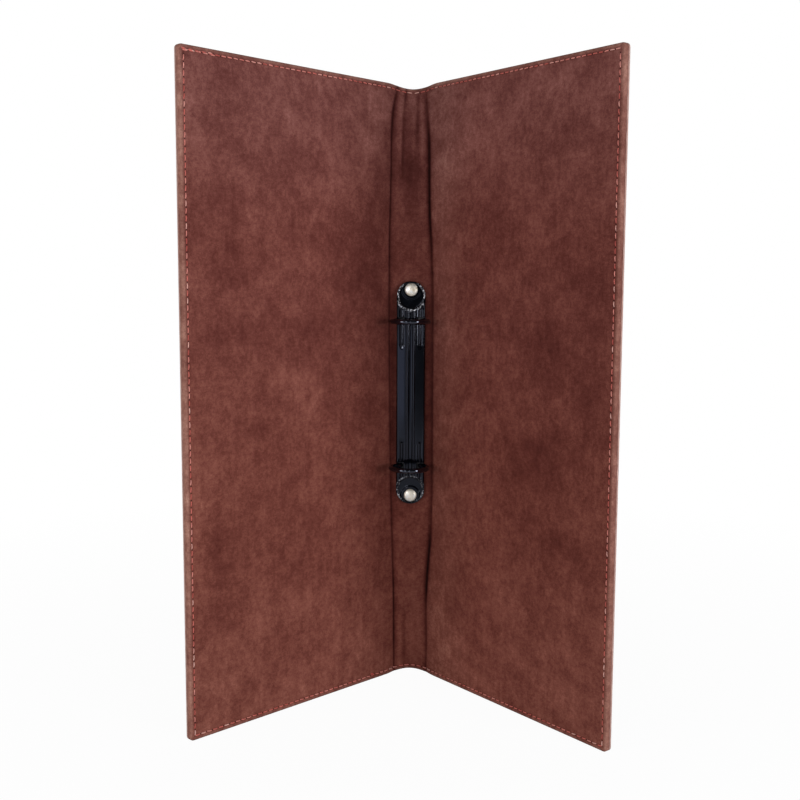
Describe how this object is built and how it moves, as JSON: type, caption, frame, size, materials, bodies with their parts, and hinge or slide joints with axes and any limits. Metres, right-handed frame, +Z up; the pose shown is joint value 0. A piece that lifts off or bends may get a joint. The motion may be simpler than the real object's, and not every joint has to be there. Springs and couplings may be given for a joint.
{
  "type": "menu cover",
  "caption": "Slim leather menu cover standing open like a book, with suede-lined leaves on a soft spine that carries a small black two-ring mechanism.",
  "frame": {"origin": "at the foot of the spine, in the middle of its width and of its thickness, on the surface the cover stands on", "axes": "+Z up along the spine from foot to head; -Y towards the reader, the side of the linings; +X to the reader's right"},
  "size_m": [0.2048, 0.1032, 0.328],
  "materials": {
    "suede_lining": "napped suede, dark reddish brown",
    "outer_hide": "plain smooth leather, brown, cut edges paler",
    "fibreboard": "raw grey-brown board",
    "black_lacquer": "gloss black lacquer on steel",
    "blade_steel": "black lacquer on spring steel",
    "rivet_metal": "worn nickel"
  },
  "bodies": {
    "spine": {"spine_outer_leather": "outer_hide", "spine_stiffener": "fibreboard", "spine_lining": "suede_lining", "left_outer_hinge": "outer_hide", "right_outer_hinge": "outer_hide", "left_lining_hinge": "suede_lining", "right_lining_hinge": "suede_lining", "ring_housing": "black_lacquer", "upper_rivet": "rivet_metal", "lower_rivet": "rivet_metal", "upper_rivet_cap": "rivet_metal", "lower_rivet_cap": "rivet_metal"},
    "left_leaf": {"left_outer_leather": "outer_hide", "left_board": "fibreboard", "left_lining": "suede_lining"},
    "right_leaf": {"right_outer_leather": "outer_hide", "right_board": "fibreboard", "right_lining": "suede_lining"},
    "left_ring_carrier": {"left_blade": "blade_steel", "upper_left_half_ring": "black_lacquer", "lower_left_half_ring": "black_lacquer"},
    "right_ring_carrier": {"right_blade": "blade_steel", "upper_right_half_ring": "black_lacquer", "lower_right_half_ring": "black_lacquer"}
  },
  "joints": [
    {"name": "left_leaf_hinge", "type": "hinge", "parent": "spine", "child": "left_leaf", "pos_m": [-0.0114, -0.0031, 0], "axis": [0, 0, 1], "range_deg": [-48.3, 41.7], "deforming": ["left_outer_hinge", "left_lining_hinge"]},
    {"name": "right_leaf_hinge", "type": "hinge", "parent": "spine", "child": "right_leaf", "pos_m": [0.0114, -0.0031, 0], "axis": [0, 0, 1], "range_deg": [-41.7, 48.3], "deforming": ["right_outer_hinge", "right_lining_hinge"]},
    {"name": "right_ring_open", "type": "hinge", "parent": "spine", "child": "right_ring_carrier", "pos_m": [0.00667, -0.00297, 0.161], "axis": [0, 0, 1], "range_deg": [0, 7]},
    {"name": "left_ring_open", "type": "hinge", "parent": "spine", "child": "left_ring_carrier", "pos_m": [-0.00667, -0.00297, 0.161], "axis": [0, 0, 1], "range_deg": [-7, 0]}
  ],
  "couplings": [
    {"joint": "left_ring_open", "follows": "right_ring_open", "ratio": -1}
  ]
}
